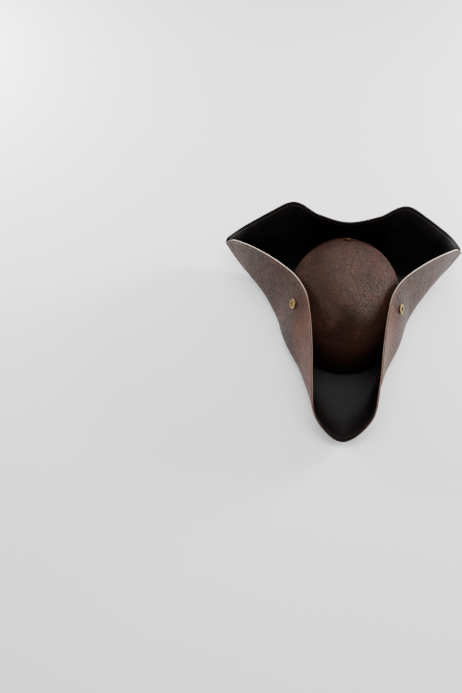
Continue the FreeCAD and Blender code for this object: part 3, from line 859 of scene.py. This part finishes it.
class PIRATEHAT_OT_topstitching(bpy.types.Operator):
    """Sew the topstitching along the brim's edge, on the leather and on the lining"""

    bl_idname = "pirate_hat.topstitching"
    bl_label = "Topstitching"

    def execute(self, context):
        finish = context.scene.pirate_hat_finish
        sides = (("leather", -1.38, "Thread on leather", finish.thread),
                 ("lining", 1.38, "Thread on lining", finish.lining_thread))
        for zone, (body, first, last, _, high_row) in ZONES.items():
            if high_row is not None:
                continue
            for side, level, label, colour in sides:
                thread = shared(sewing_thread, label, tuple(colour))
                self.sew(context, zone, body, first, last, side, level, thread)
        return {"FINISHED"}

    def sew(self, context, zone, body, first, last, side, level, material):
        brim = context.scene.pirate_hat_brim
        inset = brim.stitch_inset / MM
        frames = []
        for angle in brim_angles(first, last):
            line = column(angle)
            point, normal = line.frame_at(line.reach_from_edge(inset))
            frames.append((point + normal * (softness(point, inset) + level), normal))
        bm = bmesh.new()
        for place, along, share, index in walk([point for point, _ in frames], brim.stitch_pitch / MM):
            normal = frames[index][1].lerp(frames[index + 1][1], share).normalized()
            flat = (along - normal * along.dot(normal)).normalized()
            sunk = place - normal * math.copysign(0.16, level)
            add_stitch(bm, sunk, flat, normal, brim.stitch_length / MM, brim.thread_width / MM)
        finish_piece(f"{zone}_{side}_stitches", bm, material, body)


# ---------------------------------------------------------------- head opening

def rounded_band(low_radius, high_radius, low, high, corner):
    """Corners of a band's cross-section with its corners rounded."""
    corners = []
    rounds = ((high_radius - corner, high - corner, 0), (low_radius + corner, high - corner, 90),
              (low_radius + corner, low + corner, 180), (high_radius - corner, low + corner, 270))
    for centre_r, centre_z, start in rounds:
        for step in range(4):
            turn = math.radians(start + 30 * step)
            corners.append((centre_r + corner * math.cos(turn), centre_z + corner * math.sin(turn)))
    return corners


class PIRATEHAT_OT_opening(bpy.types.Operator):
    """Build the sweatband, the binding under the crown's edge, its stitches and the welt round the crown"""

    bl_idname = "pirate_hat.opening"
    bl_label = "Head opening"

    def execute(self, context):
        lining = shared(black_lining, "Black lining")
        leather = shared(brown_leather, "Brown leather")
        self.ring("sweatband_skin", "sweatband", 1.0, 0.45, lining, "black_lining")
        self.ring("opening_binding_skin", "opening_binding", None, 0.5, leather, "brown_leather")
        self.welt(lining)
        self.stitches(context)
        return {"FINISHED"}

    def ring(self, name, cad, thick, corner, material, record_slot):
        low, high = (Vector(c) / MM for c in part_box(cad))
        width, length = (high.x - low.x) / 2, (high.y - low.y) / 2
        inner = width - (thick or 4.1)
        bm = spun(rounded_band(inner, width, low.z, high.z, corner), 180, (1, 1, 1))
        for vert in bm.verts:
            radius = math.hypot(vert.co.x, vert.co.y)
            depth = width - radius
            turn = math.atan2(vert.co.y, vert.co.x)
            swell = 0.12 * noise.noise(Vector((math.cos(turn) * 6, math.sin(turn) * 6, vert.co.z * 0.08)))
            vert.co.x = math.cos(turn) * (width - depth + swell)
            vert.co.y = math.sin(turn) * (length - depth + swell)
        bm.verts.layers.float.new("wear_and_highlight")
        finish_piece(name, bm, material, "root", (cad,))

    def welt(self, material):
        """Narrow rolled welt that closes the join between crown and brim."""
        crown = bpy.context.scene.pirate_hat_crown
        middle = crown.half_width / MM + 0.95
        bead = [(middle + 1.15 * math.cos(math.radians(a)), 0.35 + 1.15 * math.sin(math.radians(a)))
                for a in range(0, 360, 30)]
        bm = spun(bead, 200, (1, 1, 1))
        stretch = (crown.half_length - crown.half_width) / MM
        for vert in bm.verts:
            turn = math.atan2(vert.co.y, vert.co.x)
            vert.co.y += stretch * math.sin(turn)
        bm.verts.layers.float.new("wear_and_highlight")
        finish_piece("crown_welt", bm, material, "root", ())

    def stitches(self, context):
        brim, finish = context.scene.pirate_hat_brim, context.scene.pirate_hat_finish
        low, high = (Vector(c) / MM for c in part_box("opening_binding"))
        width, length = (high.x - low.x) / 2 - 2.0, (high.y - low.y) / 2 - 2.0
        ring = [Vector((width * math.cos(math.radians(a)), length * math.sin(math.radians(a)), low.z + 0.1))
                for a in range(0, 361, 2)]
        bm = bmesh.new()
        for place, along, _, _ in walk(ring, brim.stitch_pitch / MM):
            add_stitch(bm, place, along, Vector((0, 0, -1)), brim.stitch_length / MM, brim.thread_width / MM)
        thread = shared(sewing_thread, "Thread on leather", tuple(finish.thread))
        finish_piece("binding_stitches", bm, thread, "root")


# ---------------------------------------------------------------- press studs and tack

class PIRATEHAT_OT_fasteners(bpy.types.Operator):
    """Finish the brass press studs and make the covered tack button"""

    bl_idname = "pirate_hat.fasteners"
    bl_label = "Press studs and tack"

    def execute(self, context):
        finish = context.scene.pirate_hat_finish
        brass = shared(antique_brass, "Antique brass")
        for side, _ in SIDES:
            for part in ("cap", "socket", "stud", "eyelet"):
                self.paint(f"{side}_snap_{part}", brass)
        self.paint("front_tack_washer", shared(dark_washer, "Dark washer"))
        self.button(finish)
        return {"FINISHED"}

    def paint(self, name, material):
        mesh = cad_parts[name].data
        mesh.materials.clear()
        mesh.materials.append(material)

    def button(self, finish):
        """Leather-covered button: a low dome with faint gathers at its rim, and its thread behind."""
        middle, normal, across, down = tack_frame()
        profile = [(0.0, 1.25), (1.5, 1.2), (3.0, 0.98), (4.4, 0.5), (5.3, -0.1), (5.85, -0.7),
                   (5.7, -1.15), (5.0, -1.3), (0.0, -1.3)]
        bm = spun(profile, 48, (1, 1, 1), closed=False)
        for vert in bm.verts:
            turn, radius = math.atan2(vert.co.y, vert.co.x), math.hypot(vert.co.x, vert.co.y)
            vert.co.z += 0.12 * math.cos(12 * turn) * smooth_step((radius - 3.5) / 2.0)
        turn = Matrix((across, -down, normal)).transposed().to_4x4()
        bmesh.ops.transform(bm, matrix=Matrix.Translation(middle) @ turn, verts=bm.verts)
        bmesh.ops.recalc_face_normals(bm, faces=bm.faces)
        wear_and_highlight = bm.verts.layers.float.new("wear_and_highlight")
        for vert in bm.verts:
            # Painted highlight: the button turns pale tan towards its top, where light catches it, with some
            # rubbing.
            vert[wear_and_highlight] = 0.4 * smooth_step((vert.co - middle).dot(normal))
        finish_piece("tack_button_cover", bm, shared(brown_leather, "Brown leather"), "root",
                     ("front_tack_button",))
        thread = shared(sewing_thread, "Thread on leather", tuple(finish.thread))
        shank = spun([(0.0, -4.2), (0.75, -4.1), (0.8, -1.3), (0.0, -1.2)], 16, (1, 1, 1), closed=False)
        bmesh.ops.transform(shank, matrix=Matrix.Translation(middle) @ turn, verts=shank.verts)
        bmesh.ops.recalc_face_normals(shank, faces=shank.faces)
        finish_piece("tack_thread_shank", shank, thread, "root", ("front_tack_thread",))


# ---------------------------------------------------------------- stage

def area_light(name, place, target, size, power, colour=(1.0, 1.0, 1.0)):
    """Soft rectangular lamp aimed at a point."""
    data = bpy.data.lights.new(name, "AREA")
    data.shape, data.size, data.size_y = "RECTANGLE", size[0], size[1]
    data.energy, data.color = power, colour
    lamp = bpy.data.objects.new(name, data)
    lamp.location = place
    lamp.rotation_euler = (Vector(target) - Vector(place)).to_track_quat("-Z", "Y").to_euler()
    bpy.context.scene.collection.objects.link(lamp)


class PIRATEHAT_OT_stage(bpy.types.Operator):
    """Set out the pale floor, the soft studio lights and the camera behind and above the hat"""

    bl_idname = "pirate_hat.stage"
    bl_label = "Stage"

    def execute(self, context):
        self.floor()
        world = context.scene.world or bpy.data.worlds.new("Studio")
        context.scene.world = world
        world.use_nodes = True
        background = world.node_tree.nodes["Background"]
        background.inputs["Color"].default_value = (1.0, 1.0, 1.0, 1.0)
        background.inputs["Strength"].default_value = 0.5
        area_light("Softbox right", (-1.05, -0.62, 0.36), (0, 0, 0.08), (0.35, 0.4), 40.0)
        area_light("Softbox left", (1.05, -0.62, 0.36), (0, 0, 0.08), (0.35, 0.4), 22.0)
        area_light("Overhead", (0.0, -0.2, 1.6), (0, 0, 0.05), (1.3, 1.1), 30.0)
        self.camera(context)
        return {"FINISHED"}

    def floor(self):
        bm = bmesh.new()
        bmesh.ops.create_grid(bm, x_segments=1, y_segments=1, size=6.0)
        bmesh.ops.translate(bm, vec=(0, 0, CAD_BOUNDS[0][2] - 0.0005), verts=bm.verts)
        mesh = bpy.data.meshes.new("floor")
        bm.to_mesh(mesh)
        bm.free()
        material, tree, shader = new_material("Pale floor")
        place = node(tree, "ShaderNodeTexCoord", (-700, 0)).outputs["Object"]
        cloud = node(tree, "ShaderNodeTexNoise", (-480, 0), Scale=3.0, Detail=2.0)
        tree.links.new(place, cloud.inputs["Vector"])
        tones = ((0.3, (0.93, 0.93, 0.93)), (0.7, (0.95, 0.95, 0.95)))
        tree.links.new(ramp(tree, (-260, 0), cloud.outputs["Fac"], tones), shader.inputs["Base Color"])
        shader.inputs["Roughness"].default_value = 0.9
        mesh.materials.append(material)
        floor = bpy.data.objects.new("floor", mesh)
        bpy.context.scene.collection.objects.link(floor)

    def camera(self, context):
        """Camera behind and above the hat, leaning, with the hat to the right of its middle and above it."""
        azimuth, elevation, roll = math.radians(170.6), math.radians(54.8), math.radians(10.5)
        back = Vector((math.sin(azimuth) * math.cos(elevation), -math.cos(azimuth) * math.cos(elevation),
                       math.sin(elevation)))
        data = bpy.data.cameras.new("Camera")
        data.sensor_width, data.lens = 36.0, 37.85
        camera = bpy.data.objects.new("Camera", data)
        place = Matrix.Translation(Vector((0.0, 0.0, 0.04)) + back * 1.1)
        facing = back.to_track_quat("Z", "Y").to_matrix().to_4x4() @ Matrix.Rotation(roll, 4, "Z")
        swing = Matrix.Rotation(math.radians(8.8), 4, "Y") @ Matrix.Rotation(math.radians(-3.6), 4, "X")
        camera.matrix_world = place @ facing @ swing
        context.scene.collection.objects.link(camera)
        context.scene.camera = camera


# ---------------------------------------------------------------- panel and registration

OPERATORS = (PIRATEHAT_OT_crown, PIRATEHAT_OT_brim, PIRATEHAT_OT_topstitching, PIRATEHAT_OT_opening,
             PIRATEHAT_OT_fasteners, PIRATEHAT_OT_stage)
GROUPS = (("pirate_hat_crown", PIRATEHAT_PG_crown), ("pirate_hat_brim", PIRATEHAT_PG_brim),
          ("pirate_hat_finish", PIRATEHAT_PG_finish))


class PIRATEHAT_PT_panel(bpy.types.Panel):
    """Sizes, colours and build steps of the hat"""

    bl_idname = "PIRATEHAT_PT_panel"
    bl_label = "Pirate Hat"
    bl_space_type = "VIEW_3D"
    bl_region_type = "UI"
    bl_category = "Pirate Hat"

    def draw(self, context):
        for operator in OPERATORS:
            self.layout.operator(operator.bl_idname)
        for name, group in GROUPS:
            box = self.layout.box()
            for prop in group.__annotations__:
                box.prop(getattr(context.scene, name), prop)


def register():
    for name, group in GROUPS:
        bpy.utils.register_class(group)
        setattr(bpy.types.Scene, name, PointerProperty(type=group))
    for operator in OPERATORS:
        bpy.utils.register_class(operator)
    bpy.utils.register_class(PIRATEHAT_PT_panel)


def unregister():
    bpy.utils.unregister_class(PIRATEHAT_PT_panel)
    for operator in reversed(OPERATORS):
        bpy.utils.unregister_class(operator)
    for name, group in reversed(GROUPS):
        delattr(bpy.types.Scene, name)
        bpy.utils.unregister_class(group)


def main():
    register()
    bpy.ops.pirate_hat.crown()
    bpy.ops.pirate_hat.brim()
    bpy.ops.pirate_hat.topstitching()
    bpy.ops.pirate_hat.opening()
    bpy.ops.pirate_hat.fasteners()
    bpy.ops.pirate_hat.stage()


if __name__ == "__main__":
    main()
